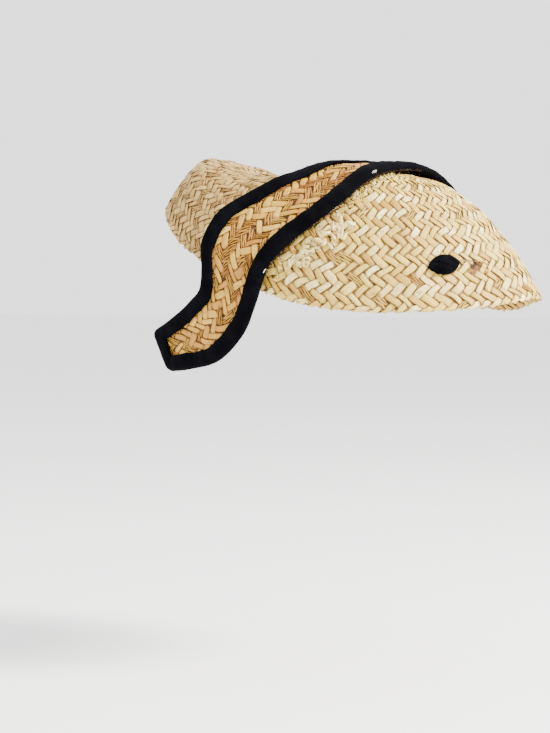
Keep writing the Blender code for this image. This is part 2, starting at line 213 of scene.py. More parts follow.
# Node sockets that take part in Python maths, for materials and Geometry Nodes
class Wire:
    def __init__(self, tree, socket=None):
        self.tree = tree
        self.socket = socket

    def node(self, kind, values=None, out=0, **settings):
        made = self.tree.nodes.new(kind)
        for name, value in settings.items():
            if name == "stops":
                ramp = made.color_ramp
                while len(ramp.elements) < len(value):
                    ramp.elements.new(0.5)
                for element, (place, colour) in zip(ramp.elements, value):
                    element.position = place
                    element.color = (*colour, 1.0)
            else:
                setattr(made, name, value)
        for name, value in (values or {}).items():
            if isinstance(value, Wire):
                self.tree.links.new(value.socket, made.inputs[name])
            else:
                socket = made.inputs[name]
                socket.default_value = (*value, 1.0) if socket.type == "RGBA" else value
        return Wire(self.tree, made.outputs[out])

    def maths(self, operation, *values):
        return self.node("ShaderNodeMath", dict(enumerate(values)), operation=operation)

    def __add__(self, other):
        return self.maths("ADD", self, other)

    __radd__ = __add__

    def __sub__(self, other):
        return self.maths("SUBTRACT", self, other)

    def __rsub__(self, other):
        return self.maths("SUBTRACT", other, self)

    def __mul__(self, other):
        return self.maths("MULTIPLY", self, other)

    __rmul__ = __mul__

    def __lt__(self, other):
        return self.maths("LESS_THAN", self, other)

    def __gt__(self, other):
        return self.maths("GREATER_THAN", self, other)

    def between(self, low, high):
        # 0 below low, 1 above high, smooth between
        values = {"Value": self, "From Min": low, "From Max": high}
        return self.node("ShaderNodeMapRange", values, interpolation_type="SMOOTHSTEP")

    def mixed(self, first, second):
        # self is the share of the second colour
        values = {0: self, 6: first, 7: second}
        return self.node("ShaderNodeMix", values, 2, data_type="RGBA")

    def vector(self, x, y, z):
        return self.node("ShaderNodeCombineXYZ", {0: x, 1: y, 2: z})

    def noise(self, vector, scale, detail=2.0, roughness=0.5):
        values = {"Vector": vector, "Scale": scale, "Detail": detail, "Roughness": roughness}
        return self.node("ShaderNodeTexNoise", values)

    def attribute(self, name):
        return self.node("ShaderNodeAttribute", out=2, attribute_name=name)

    def objectPlace(self):
        return self.node("ShaderNodeTexCoord", out=3)

    def bump(self, height, strength, depth):
        return self.node("ShaderNodeBump", {"Strength": strength, "Distance": depth, "Height": height})

    def shape(self):
        # self is an input that holds an object
        return self.node("GeometryNodeObjectInfo", {"Object": self}, out="Geometry")

    def chance(self, step, low, high, number=None):
        # self is a seed; a random value for each point, or for each value of number
        values = {2: low, 3: high, 8: self + step}
        if number is not None:
            values[7] = number
        return self.node("FunctionNodeRandomValue", values, 1, data_type="FLOAT")

    def gathered(self, kind, parts):
        # a node whose first input takes several links
        made = self.tree.nodes.new(kind)
        for part in parts:
            self.tree.links.new(part.socket, made.inputs[0])
        return Wire(self.tree, made.outputs[0])

    def grown(self, tone, material):
        # self is laid instances, which take their tone and become plain mesh
        values = {"Geometry": self, "Name": "strawTone", "Value": tone}
        stored = self.node("GeometryNodeStoreNamedAttribute", values, data_type="FLOAT", domain="INSTANCE")
        plain = self.node("GeometryNodeRealizeInstances", {"Geometry": stored})
        return self.node("GeometryNodeSetMaterial", {"Geometry": plain, "Material": material})


def newMaterial(name, fixed):
    material = bpy.data.materials.new(name)
    material.use_nodes = True
    shader = material.node_tree.nodes["Principled BSDF"]
    for socket, value in fixed.items():
        shader.inputs[socket].default_value = value
    return material, shader, Wire(material.node_tree)


def feed(shader, **wires):
    for name, wire in wires.items():
        wire.tree.links.new(wire.socket, shader.inputs[name.replace("_", " ")])


def newTree(name, **inputs):
    # inputs are names grouped by kind; the geometry always comes first
    tree = bpy.data.node_groups.new(name, "GeometryNodeTree")
    tree.interface.new_socket("Geometry", in_out="OUTPUT", socket_type="NodeSocketGeometry")
    for kind, labels in {"Geometry": "Geometry", **inputs}.items():
        for label in labels.split():
            tree.interface.new_socket(label, in_out="INPUT", socket_type="NodeSocket" + kind)
    start = tree.nodes.new("NodeGroupInput")
    return tree, {socket.name: Wire(tree, socket) for socket in start.outputs if socket.name}


def endTree(wire):
    end = wire.tree.nodes.new("NodeGroupOutput")
    wire.tree.links.new(wire.socket, end.inputs[0])


def newObject(name, points, faces, materials=(), values=None):
    # points in millimetres; values are float attributes of the points
    mesh = bpy.data.meshes.new(name)
    mesh.from_pydata((np.asarray(points) * metre).tolist(), [], faces)
    for label, numbers in (values or {}).items():
        mesh.attributes.new(label, "FLOAT", "POINT").data.foreach_set("value", np.asarray(numbers, float))
    for material in materials:
        mesh.materials.append(material)
    if faces:
        mesh.shade_smooth()
    mesh.update()
    made = bpy.data.objects.new(name, mesh)
    scene.collection.objects.link(made)
    return made


def grow(name, tree, base, values):
    # runs a tree on a base object; one plain mesh takes the place of the objects used
    modifier = base.modifiers.new("grow", "NODES")
    modifier.node_group = tree
    for item in tree.interface.items_tree:
        if item.in_out == "INPUT" and item.name in values:
            modifier[item.identifier] = values[item.name]
    bpy.context.view_layer.update()
    seen = base.evaluated_get(bpy.context.evaluated_depsgraph_get())
    mesh = bpy.data.meshes.new_from_object(seen)
    mesh.name = name
    for old in [base, *(value for value in values.values() if isinstance(value, bpy.types.Object))]:
        bpy.data.objects.remove(old, do_unlink=True)
    made = bpy.data.objects.new(name, mesh)
    scene.collection.objects.link(made)
    return made


def readPoints(mesh):
    points = np.zeros(len(mesh.vertices) * 3)
    mesh.vertices.foreach_get("co", points)
    return points.reshape(-1, 3) / metre


def writePoints(mesh, points):
    mesh.vertices.foreach_set("co", (np.asarray(points) * metre).ravel())
    mesh.update()


def tubeFaces(rows, around, first=0, flipped=False, closed=False):
    # quads between rows of points that go round; an open tube has a face at each end
    total, faces = rows * around, []
    for i in range(rows if closed else rows - 1):
        for j in range(around):
            a, b = i * around + j, i * around + (j + 1) % around
            c, d = (b + around) % total, (a + around) % total
            faces.append((a, d, c, b) if flipped else (a, b, c, d))
    if not closed:
        ends = [tuple(range(around))[::-1], tuple(range(total - around, total))]
        faces += [end[::-1] for end in ends] if flipped else ends
    return [tuple(first + k for k in face) for face in faces]


# Camera at the photograph's angle
view = dict(
    place=(0.993, 0.4818, -0.0628), right=(-0.4695, 0.8829, 0.0), back=(0.8824, 0.4692, 0.0349),
    data=dict(lens=101.93, sensor_width=36.0, clip_start=0.05, clip_end=50.0),
)
cameraData = bpy.data.cameras.new("camera")
for key, value in view["data"].items():
    setattr(cameraData, key, value)
camera = bpy.data.objects.new("camera", cameraData)
scene.collection.objects.link(camera)
back = Vector(view["back"]).normalized()
right = (Vector(view["right"]) - back * back.dot(Vector(view["right"]))).normalized()
turned = Matrix((right, back.cross(right), back)).transposed().to_4x4()
camera.matrix_world = Matrix.Translation(view["place"]) @ turned
scene.camera = camera

# Straw: cream to ochre by strand, streaked along the fibre, with painted shade at its edges and where it
# dives under
grain = dict(
    along=1.2, across=2.4, step=57.0, scale=1.5, detail=4.0, roughness=0.66, streak=(0.42, 0.66), fine=4.5,
)
blotch = dict(along=1.5, across=1.2, step=31.0, start=5.0, scale=1.2, detail=3.0, soft=0.13)
patches = dict(scale=42.0, detail=4.0, roughness=0.6, edges=(0.46, 0.66))
edgeShadeReach = dict(edge=(0.66, 1.0), tip=(0.58, 1.0))


def strawMaterial(name, look):
    material, shader, wire = newMaterial(name, {"Specular IOR Level": 0.4})
    tone, along, across = (wire.attribute(label) for label in ("strawTone", "strawAlong", "strawAcross"))
    fibrePlace = wire.vector(along * grain["along"], across * grain["across"], tone * grain["step"])
    fibre = wire.noise(fibrePlace, grain["scale"], grain["detail"], grain["roughness"])
    stainStep = tone * blotch["step"] + blotch["start"]
    stainPlace = wire.vector(along * blotch["along"], across * blotch["across"], stainStep)
    stain = wire.noise(stainPlace, blotch["scale"], blotch["detail"])
    stain = stain.between(look["stainFrom"], look["stainFrom"] + blotch["soft"])
    patch = wire.noise(wire.objectPlace(), patches["scale"], patches["detail"], patches["roughness"])
    colour = wire.node("ShaderNodeValToRGB", {0: tone}, stops=look["tones"])
    covers = dict(patch=patch.between(*patches["edges"]), streak=fibre.between(*grain["streak"]), stain=stain)
    for label, cover in covers.items():
        share, tint = look[label]
        colour = (cover * share).mixed(colour, tint)
    # painted shade: each straw darkens towards its edges and towards the tips where it dives under its
    # neighbours
    edge = wire.maths("ABSOLUTE", across).between(*edgeShadeReach["edge"])
    tip = wire.maths("ABSOLUTE", along).between(*edgeShadeReach["tip"])
    edgeShading = 1 - (1 - edge * look["edge"]) * (1 - tip * look["tip"])
    colour = edgeShading.mixed(colour, look["edgeShadowColour"])
    relief = fibre + wire.noise(fibrePlace, grain["fine"]) * 0.5
    feed(shader, Base_Color=colour, Roughness=0.42 + fibre * 0.22, Normal=wire.bump(relief, 0.55, 0.0004))
    return material


def mottledMaterial(name, dark, light, scale=1500.0, detail=2.0, rough=0.6, rougher=0.3):
    # fine grain between two colours
    material, shader, wire = newMaterial(name, {"Specular IOR Level": 0.2})
    mottle = wire.noise(wire.objectPlace(), scale, detail)
    feed(shader, Base_Color=mottle.between(0.35, 0.65).mixed(dark, light), Roughness=rough + mottle * rougher)
    return material


def threadMaterial(name, colour):
    return mottledMaterial(name, tuple(0.6 * c for c in colour), colour)


creamStraw = strawMaterial("creamStraw", dict(
    tones=[
        (0.0, (0.38, 0.205, 0.012)), (0.25, (0.53, 0.345, 0.035)),
        (0.6, (0.66, 0.49, 0.09)), (1.0, (0.9, 0.79, 0.36)),
    ],
    patch=(0.34, (0.46, 0.28, 0.05)), streak=(0.7, (0.43, 0.25, 0.06)),
    stainFrom=0.6, stain=(0.8, (0.26, 0.12, 0.022)),
    edge=0.76, tip=0.82, edgeShadowColour=(0.17, 0.075, 0.009),
))
greyStraw = strawMaterial("greyStraw", dict(
    tones=[
        (0.0, (0.28, 0.155, 0.025)), (0.3, (0.37, 0.235, 0.052)),
        (0.7, (0.45, 0.31, 0.08)), (1.0, (0.56, 0.42, 0.15)),
    ],
    patch=(0.35, (0.37, 0.235, 0.06)), streak=(0.5, (0.32, 0.19, 0.05)),
    stainFrom=0.56, stain=(0.85, (0.3, 0.125, 0.014)),
    edge=0.3, tip=0.84, edgeShadowColour=(0.25, 0.088, 0.008),
))
toastStraw = strawMaterial("toastStraw", dict(
    tones=[
        (0.0, (0.29, 0.105, 0.005)), (0.3, (0.42, 0.215, 0.012)),
        (0.62, (0.51, 0.315, 0.03)), (1.0, (0.63, 0.465, 0.085)),
    ],
    patch=(0.35, (0.37, 0.18, 0.02)), streak=(0.65, (0.35, 0.155, 0.015)),
    stainFrom=0.56, stain=(0.85, (0.29, 0.092, 0.005)),
    edge=0.5, tip=0.74, edgeShadowColour=(0.22, 0.062, 0.006),
))

# The deeper straws that show in the gaps, coloured far darker than the straw itself: painted shade in the
# gaps
underGrain = dict(scale=420.0, detail=3.0, rough=0.7, rougher=0.25)
shadedUnderCream = mottledMaterial("shadedUnderCream", (0.075, 0.032, 0.008), (0.24, 0.12, 0.035), **underGrain)
shadedUnderToast = mottledMaterial("shadedUnderToast", (0.03, 0.011, 0.002), (0.08, 0.027, 0.004), **underGrain)

# One woven straw: a flat strip, domed across, whose ends dive under; a split one is a few thin strands
wholeForm = dict(
    sides=[(-1.0, 0.0), (-0.6, 0.78), (0.0, 1.0), (0.6, 0.78), (1.0, 0.0)],
    wide=1.0, spread=1.0, sway=0.0, drop=0.0, across=1.0,
)
splitForm = dict(
    sides=[(-1.0, 0.0), (0.0, 1.0), (1.0, 0.0)],
    wide=0.72, spread=0.9, sway=0.16, drop=0.12, across=0.85,
)
diveFrom, endTaper = 0.42, 0.14


def strawPiece(length, width, strands, form, weave):
    points, faces, alongs, acrosses = [], [], [], []
    halfWide = width / 2 / strands * form["wide"]
    for strand in range(strands):
        faces += tubeFaces(weave["stations"], len(form["sides"]), len(points))
        centre = (strand + 0.5) / strands * 2 - 1
        for s in np.linspace(-1, 1, weave["stations"]):
            drop = weave["dive"] * ease((abs(s) - diveFrom) / (1 - diveFrom)) + form["drop"] * (strand % 2)
            middle = (centre + form["sway"] * np.sin(3.1 * s + 2.3 * strand)) * width / 2 * form["spread"]
            for across, up in form["sides"]:
                y = middle + across * halfWide * (1 - endTaper * s**4)
                points.append((s * length / 2, y, weave["dome"] * up - drop))
                alongs.append(s)
                acrosses.append(across * form["across"])
    return newObject("straw", points, faces, values={"strawAlong": alongs, "strawAcross": acrosses})


def weaveTree():
    # lays straws on lattice points, two over and two under, some split, some missing
    tree, given = newTree(
        "wovenStraw", Object="wholeStraw splitStraw underSheet", Int="seed", Material="straw",
        Float="lean split splitStrands missing splitShade bleach ruffle",
    )
    wire, seed, ruffle = given["Geometry"], given["seed"], given["ruffle"]
    family, strand, browned = (
        wire.node("GeometryNodeInputNamedAttribute", {"Name": label}, data_type="FLOAT")
        for label in ("family", "strand", "browned")
    )
    split = seed.chance(1, 0.0, 1.0) < given["split"]
    splitStrand = seed.chance(2, 0.0, 1.0, strand) < given["splitStrands"]
    choice = wire.maths("MAXIMUM", split, splitStrand)
    present = seed.chance(3, 0.0, 1.0) > given["missing"]
    kinds = [given["splitStraw"].shape(), given["wholeStraw"].shape()]
    turn = (1 - 2 * family) * given["lean"] + seed.chance(4, -0.05, 0.05) * ruffle
    tilt = wire.vector(seed.chance(5, -0.1, 0.1) * ruffle, seed.chance(6, -0.025, 0.025) * ruffle, turn)
    size = wire.vector(seed.chance(7, 0.9, 1.08), seed.chance(8, 0.78, 1.1), seed.chance(9, 0.6, 1.4))
    laid = wire.node("GeometryNodeInstanceOnPoints", {
        "Points": wire, "Selection": present, "Pick Instance": True, "Instance Index": choice,
        "Instance": wire.gathered("GeometryNodeGeometryToInstance", kinds), "Rotation": tilt, "Scale": size,
    })
    lift = wire.vector(0.0, 0.0, seed.chance(10, -0.00006, 0.00008) * ruffle)
    laid = wire.node("GeometryNodeTranslateInstances", {"Instances": laid, "Translation": lift})
    tone = seed.chance(11, 0.0, 1.0, strand) * 0.5 + seed.chance(12, 0.0, 1.0) * 0.5
    # one straw family is toned lighter by bleach: a painted sheen
    # straws on the inner face are toned darker by browned: painted shade
    tone = tone - choice * given["splitShade"] - browned + (0.6 - family) * given["bleach"]
    woven = laid.grown(wire.node("ShaderNodeClamp", {"Value": tone}), given["straw"])
    endTree(wire.gathered("GeometryNodeJoinGeometry", [given["underSheet"].shape(), woven]))
    return tree


strawTree = weaveTree()


def weavePiece(name, weave, centres, drape, under, material):
    # a flat lattice of straws, then draped; centres has a row for each straw: x, y, family, strand
    lean = np.arctan2(weave["band"], weave["column"])
    width = weave["column"] * np.sin(lean) * weave["fill"]
    length = np.hypot(weave["band"], weave["column"]) * weave["reach"]
    whole = strawPiece(length, width, 1, wholeForm, weave)
    split = strawPiece(length, width, weave["strands"], splitForm, weave)
    inner = centres[:, 1] < 0 if weave["innerBelow"] else centres[:, 1] > foldAt
    # the inner face's straws carry a painted shade, darker than the outer face
    base = newObject("lattice", [(x, y, 0.0) for x, y in centres[:, :2]], [], values={
        "family": centres[:, 2], "strand": centres[:, 3], "browned": weave["browned"] * inner})
    made = grow(name, strawTree, base, {
        **weave, "wholeStraw": whole, "splitStraw": split, "underSheet": under, "lean": float(lean),
        "straw": material,
    })
    points = readPoints(made.data)
    x, y = points[:, 0], points[:, 1]
    x += weave["wander"] * (np.sin(y * 0.31 + 1.1 * np.sin(x * 0.11)) + 0.6 * np.sin(x * 0.47 - y * 0.23))
    y += weave["wander"] * (np.sin(x * 0.23 + 0.9 * np.sin(y * 0.17)) + 0.6 * np.sin(y * 0.53 + x * 0.19))
    writePoints(made.data, drape(points))
    made.data.shade_smooth()
    print(name, len(centres), "straws,", sum(len(p.vertices) - 2 for p in made.data.polygons), "triangles")
    return made


def latticeCentres(weave, columns, bands):
    # the middle of each straw's float, for both families; columns and bands are (first, last)
    rows = []
    for band in range(bands[0], bands[1] + 1):
        family = band % 2
        for column in range(columns[0], columns[1] + 1):
            x, y = column + 0.25 + 0.5 * family, band + 0.25
            strand = round(2 * (x - y)) if family == 0 else round(2 * (x + y)) + 5000
            rows.append((x * weave["column"], y * weave["band"], family, strand))
    return np.array(rows)


# Meridians of the weave run from the rim to a pole; distances along them are tabled once
perDegree = 2


def meridians(pole, reach):
    pole, degrees = np.array(pole), np.linspace(0, 360, 360 * perDegree + 1)
    k = np.linspace(0, 1, 181)
    rim = rimPlan(degrees)
    plan = rim[:, None] * (1 - k)[None, :, None] + pole * k[None, :, None]
    face = onShell(plan[..., 0], plan[..., 1], np.zeros(plan.shape[:2]))
    steps = np.linalg.norm(np.diff(face, axis=1), axis=2)
    run = np.concatenate([np.zeros((len(rim), 1)), np.cumsum(steps, axis=1)], axis=1)
    share = np.stack([np.interp(np.arange(0, reach, 1.0), row, k) for row in run])
    arc = np.concatenate([[0], np.cumsum(np.linalg.norm(np.diff(face[:, 0], axis=0), axis=1))])
    return dict(pole=pole, degrees=degrees, arc=arc, share=share, reach=reach)


def planAt(table, u, s):
    # plan place at a distance round the rim and a distance up from it
    degrees = np.interp(u % table["arc"][-1], table["arc"], table["degrees"])
    i = np.clip(degrees * perDegree, 0, 360 * perDegree - 0.001)
    j = np.clip(s, 0, table["reach"] - 1.001)
    a, b = i.astype(int), j.astype(int)
    fi, fj = i - a, j - b
    share = table["share"]
    k = (share[a, b] * (1 - fj) + share[a, b + 1] * fj) * (1 - fi)
    k = k + (share[a + 1, b] * (1 - fj) + share[a + 1, b + 1] * fj) * fi
    return rimPlan(degrees) * (1 - k)[..., None] + table["pole"] * k[..., None]


edgeRadius = shell["wall"] / 2  # the cloth turns round it at the rim
edgeTurn = np.pi / 2 * edgeRadius
clothHeight = 0.42  # the straws' middles over the wall's face
foldAt = 30.0  # where the sash's flat cloth folds over to its inner face


def lumps(x, y):
    # slow unevenness of a hand-blocked shell
    return 0.35 * np.sin(x * 0.11 + 1.3) * np.sin(y * 0.13 + 0.4) + 0.22 * np.sin(x * 0.27 - y * 0.21)


def rimRipple(u):
    return 0.45 * np.sin(u * 0.83) * np.sin(u * 0.31) + 0.3 * np.sin(u * 2.1)


def shellDrape(table, tuck):
    # x goes round the rim, y up from it over the outer face, or over the inner face where it is negative
    def place(points):
        u, y, z = points.T
        turn = np.clip((edgeTurn - y) / (2 * edgeTurn), 0, 1) * np.pi
        s = np.maximum(np.abs(y) - edgeTurn, 0)
        out = clothHeight + z
        x, yPlan = planAt(table, u, s).T
        lift = -edgeRadius + out * np.cos(turn) - tuck(x, yPlan) + lumps(x, yPlan) * np.minimum(s / 12, 1)
        rim, near = (onShell(*planAt(table, u, 0 * s + far).T, 0 * s) for far in (0.0, 2.0))
        past = out * np.sin(turn) + rimRipple(u) * (s < 3)
        return onShell(x, yPlan, lift) + unit(rim - near) * past[..., None]
    return place


def isKept(weave, x, y, margin=0.0):
    # on the weave's own side of the seam, or no further past it than its cloth runs
    return weave["side"] * behindSeam(x, y) > margin - weave["past"]


def seamReach(table, edges, weave):
    # how far each meridian runs from the rim before it is the weave's distance past the seam
    far = np.arange(0, table["reach"] - 2, 0.5)
    plan = planAt(table, edges[:, None] + 0 * far, far + 0 * edges[:, None])
    kept = isKept(weave, plan[..., 0], plan[..., 1])
    stop = np.where(kept.all(axis=1), len(far) - 1, np.argmin(kept, axis=1))
    return far[stop]


def pieceSpan(table, weave):
    # the stretch of the rim that belongs to the piece, as arc lengths, going round past zero
    arcs = np.linspace(0, table["arc"][-1], 1441)[:-1]
    kept = isKept(weave, *planAt(table, arcs, 0 * arcs + 0.3).T)
    first = arcs[np.nonzero(kept & ~np.roll(kept, 1))[0][0]]
    last = arcs[np.nonzero(kept & ~np.roll(kept, -1))[0][0]]
    return (first, last) if last > first else (first - table["arc"][-1], last)


def underSheet(table, weave, material):
    # closed thin sleeve between the outer and the inner straws
    edges = np.linspace(*pieceSpan(table, weave), 110)
    reach = np.maximum(seamReach(table, edges, weave) - 1.0, 0.5)
    up = np.linspace(1, 0.06, 24)
    shares = np.concatenate([up, [0.02, 0.0, -0.02], -up[::-1]])
    points = [(u, r * k, -0.32) for u, r in zip(edges, reach) for k in shares]
    return newObject("under", points, tubeFaces(len(edges), len(shares), flipped=True), [material])


# Hand work by the tab, as plan places and heights: a hole, a grey thread and a loose straw
stitch = dict(
    hole=(31.2, 82.5), holeSize=1.7, clear=2.2, threadRadius=0.2, looseRadius=0.34,
    thread=[(37.9, 77.6, 1.3), (35.6, 79.3, 0.9), (33.2, 81.1, 0.7), (31.3, 82.4, -0.6)],
    loose=[
        (30.6, 83.0, -0.5), (29.4, 84.2, 0.7), (27.6, 86.0, 1.5),
        (27.0, 87.6, 1.3), (28.2, 88.3, 0.4), (29.2, 88.4, -0.4),
    ],
)


def shellCentres(weave, table):
    columns = (0, int(round(table["arc"][-1] / weave["column"])) - 1)
    bands = int(table["reach"] / weave["band"]) - 1
    centres = latticeCentres(weave, columns, (-bands, bands))
    s = np.maximum(np.abs(centres[:, 1]) - edgeTurn, 0)
    x, y = planAt(table, centres[:, 0], s).T
    inside = isKept(weave, x, y, 1.0) & (s < seamReach(table, centres[:, 0], weave))
    holed = (np.hypot(x - stitch["hole"][0], y - stitch["hole"][1]) < stitch["clear"]) & (centres[:, 1] > 0)
    return centres[inside & ~holed]


def shellPiece(name, weave, tuck, material):
    table = meridians(weave["pole"], weave["meridian"])
    around = table["arc"][-1]
    weave["column"] = around / round(around / weave["column"])
    under = underSheet(table, weave, shadedUnderCream)
    return weavePiece(name, weave, shellCentres(weave, table), shellDrape(table, tuck), under, material)


# Crown and peak: side is 1 behind the seam, -1 before it; past is how far past it the cloth runs
crownWeave = dict(
    column=6.4, band=5.3, fill=0.98, reach=1.24, stations=8, strands=4, dome=0.26, dive=0.5,
    split=0.05, splitStrands=0.04, missing=0.0, bleach=0.34, ruffle=1.6, seed=11, wander=0.55, browned=0.45,
    splitShade=0.3, innerBelow=True, pole=(-8.0, 6.0), meridian=150.0, side=1, past=1.0,
)
crownStraw = shellPiece("crownStraw", crownWeave, lambda x, y: 0.0, creamStraw)
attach(crownStraw, "root")
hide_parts("crown")
print("crown woven")

peakWeave = dict(
    column=5.6, band=4.7, fill=1.0, reach=1.12, stations=6, strands=3, dome=0.18, dive=0.42,
    split=0.1, splitStrands=0.06, missing=0.002, bleach=0.08, ruffle=1.5, seed=23, wander=0.6, browned=0.45,
    splitShade=0.35, innerBelow=True, pole=(6.0, 48.0), meridian=190.0, side=-1, past=6.0,
)
peakStraw = shellPiece("peakStraw", peakWeave, peakTuck, greyStraw)
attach(peakStraw, "root")
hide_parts("front_peak")
print("peak woven")

# Sash: the same cloth cut to a strip, its lattice along the strip, one layer each way
sashWeave = dict(
    column=5.8, band=4.6, fill=0.98, reach=1.22, stations=6, strands=4, dome=0.2, dive=0.34,
    split=0.2, splitStrands=0.26, missing=0.004, bleach=0.1, ruffle=1.8, seed=37, wander=0.6, browned=0.2,
    splitShade=0.26, innerBelow=False,
)


def sashDrape(points):
    # y over the strip's width lies on the outer face, y past the fold on the inner face
    x, y, z = points.T
    side = np.where(y > foldAt, -1.0, 1.0)
    across = np.where(y > foldAt, 2 * foldAt - y, y)
    along = np.clip(x, 0.7, sashLength - 0.7)
    limit = roundedHalf(along) - 0.7
    across = np.clip(across, -limit, limit)
    return sashAt(along, across) + sashNormal(along, across) * (side * (0.3 + z))[:, None]


def sashCentres():
    centres = latticeCentres(sashWeave, (-1, int(sashLength / sashWeave["column"]) + 1), (-7, 20))
    along, across = centres[:, 0], np.where(centres[:, 1] > foldAt, 2 * foldAt - centres[:, 1], centres[:, 1])
    inside = np.abs(across) < roundedHalf(np.clip(along, 0, sashLength)) + 0.5
    return centres[inside & (along > -0.5) & (along < sashLength + 0.5)]


def sashUnder():
    # closed thin slab between the outer and the inner straws
    along = np.linspace(1.0, sashLength - 1.0, 150)
    v = np.linspace(-1, 1, 9)
    limit = (roundedHalf(along) - 1.2)[:, None] * v
    upper, lower = (np.stack([along[:, None] + 0 * limit, across, 0 * limit - 0.22], axis=-1).reshape(-1, 3)
                    for across in (limit, 2 * foldAt - limit))
    rows, count = len(along), len(v)
    below, faces = rows * count, []
    for i in range(rows - 1):
        for j in range(count - 1):
            a, b = i * count + j, (i + 1) * count + j
            faces.append((a, b, b + 1, a + 1))
            faces.append((below + a + 1, below + b + 1, below + b, below + a))
    loop = [i * count for i in range(rows)] + [(rows - 1) * count + j for j in range(1, count)]
    loop += [i * count + count - 1 for i in range(rows - 2, -1, -1)] + list(range(count - 2, 0, -1))
    faces += [(b, a, below + a, below + b) for a, b in zip(loop, loop[1:] + loop[:1])]
    return newObject("under", np.concatenate([upper, lower]), faces, [shadedUnderToast])


sashStraw = weavePiece("sashStraw", sashWeave, sashCentres(), sashDrape, sashUnder(), toastStraw)
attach(sashStraw, "root")
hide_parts("sash")
print("sash woven")


# A fine round strand through a few places
strandTurns = np.linspace(0, 2 * np.pi, 6, endpoint=False)


def strandMesh(name, places, radius, material, tone=0.5):
    knots = np.arange(len(places), dtype=float)
    path = smoothRows(knots, np.asarray(places, float), np.linspace(0, knots[-1], 8 * len(places)))
    way = unit(np.gradient(path, axis=0))
    side = unit(np.cross(way, (0.31, 0.17, 0.93)))
    up = np.cross(way, side)
    ring = np.cos(strandTurns)[:, None] * side[:, None] + np.sin(strandTurns)[:, None] * up[:, None]
    points = (path[:, None] + radius * ring).reshape(-1, 3)
    along = np.repeat(np.linspace(-0.5, 0.5, len(path)), len(strandTurns))
    values = {"strawAlong": along, "strawAcross": 0 * along, "strawTone": 0 * along + tone}
    return newObject(name, points, tubeFaces(len(path), len(strandTurns)), [material], values)


def planPlaces(rows):
    x, y, lift = np.asarray(rows, float).T
    return onShell(x, y, lift + lumps(x, y))


def edgePlaces(along, out, height):
    # places past the sash's rear edge, by the distance along it and out from it
    across = np.interp(along, halfKnots, halfValues) + out
    return sashAt(along, across) + sashNormal(along, across) * height[:, None]


greyThread = threadMaterial("greyThread", (0.17, 0.15, 0.12))
whiteThread = threadMaterial("whiteThread", (0.72, 0.7, 0.66))
holeShade = threadMaterial("holeShade", (0.03, 0.014, 0.005))

thread = strandMesh("thread", planPlaces(stitch["thread"]), stitch["threadRadius"], greyThread)
looseStraw = strandMesh("looseStraw", planPlaces(stitch["loose"]), stitch["looseRadius"], toastStraw, 0.12)
# The hole: a dark disc just under the straws, painted shade for its inside
holeSides = 24
holeTurns = np.linspace(0, 2 * np.pi, holeSides, endpoint=False)
holeEdge = stitch["holeSize"] * (1 + 0.14 * np.sin(3 * holeTurns + 0.5))
holeX = stitch["hole"][0] + holeEdge * np.cos(holeTurns)
holeY = stitch["hole"][1] + holeEdge * np.sin(holeTurns)
holePlaces = planPlaces([(x, y, -0.6) for x, y in (stitch["hole"], *zip(holeX, holeY))])
holeFaces = [(0, 1 + j, 1 + (j + 1) % holeSides) for j in range(holeSides)]
holeDisc = newObject("holeDisc", holePlaces, holeFaces, [holeShade])
for piece in (thread, looseStraw, holeDisc):
    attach(piece, "root")
print("thread and loose straw made")

# White stitches that show at the binding's edge: distance along the strip, then past its edge
whiteStitches = [(208.6, 1.4), (210.0, 1.1), (133.8, 1.5), (134.9, 1.2)]
for number, (at, past) in enumerate(whiteStitches):
    places = edgePlaces(at + np.array([-0.6, -0.2, 0.3, 0.7]), past + np.array([-0.5, 0.25, 0.1, -0.6]),
                        np.array([0.6, 2.2, 2.3, 0.8]))
    whiteStitch = strandMesh("whiteStitch%d" % number, places, 0.24, whiteThread)
    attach(whiteStitch, "root")

# Frayed ends along the crown's front edge: pulled loops, short ends, and dark fuzz at the velvet, whose dark
# brown is partly real fuzz and partly painted shade where the velvet meets the crown
loopsFray = dict(
    count=44, span=(158.0, 190.0), out=(-0.8, 6.5), width=1.8, thick=0.22, length=11.0, turn=3.2, base=-0.3,
    small=0.6, large=1.15, dark=0.85, pale=1.0, seed=3, onVelvet=False,
)
endsFray = dict(
    count=110, span=(112.0, 200.0), out=(-2.2, 2.0), width=0.7, thick=0.16, length=5.0, turn=2.2, base=-0.3,
    small=0.5, large=1.2, dark=0.6, pale=1.0, seed=8, onVelvet=False,
)
fuzzFray = dict(
    count=900, span=(96.0, 205.0), out=(-1.2, 0.5), width=0.2, thick=0.1, length=2.4, turn=1.2, base=-1.7,
    small=0.5, large=1.3, dark=0.0, pale=0.2, seed=14, onVelvet=True,
)


def curlPiece(shape):
    # narrow ribbon along x, bent up and over
    radius, stations = shape["length"] / shape["turn"], 9
    points, along, across = [], [], []
    for share in np.linspace(0, 1, stations):
        angle = shape["turn"] * share
        half = shape["width"] / 2 * (1 - 0.6 * share**2)
        x, z = radius * np.sin(angle), 0.45 * radius * (1 - np.cos(angle))
        for y, up in ((-half, 0), (half, 0), (half, shape["thick"]), (-half, shape["thick"])):
            points.append((x - up * np.sin(angle), y, z + up * np.cos(angle)))
            along.append(share * 1.2 - 0.6)
            across.append(0.5 if y > 0 else -0.5)
    faces = tubeFaces(stations, 4, flipped=True)
    return newObject("curl", points, faces, values={"strawAlong": along, "strawAcross": across})


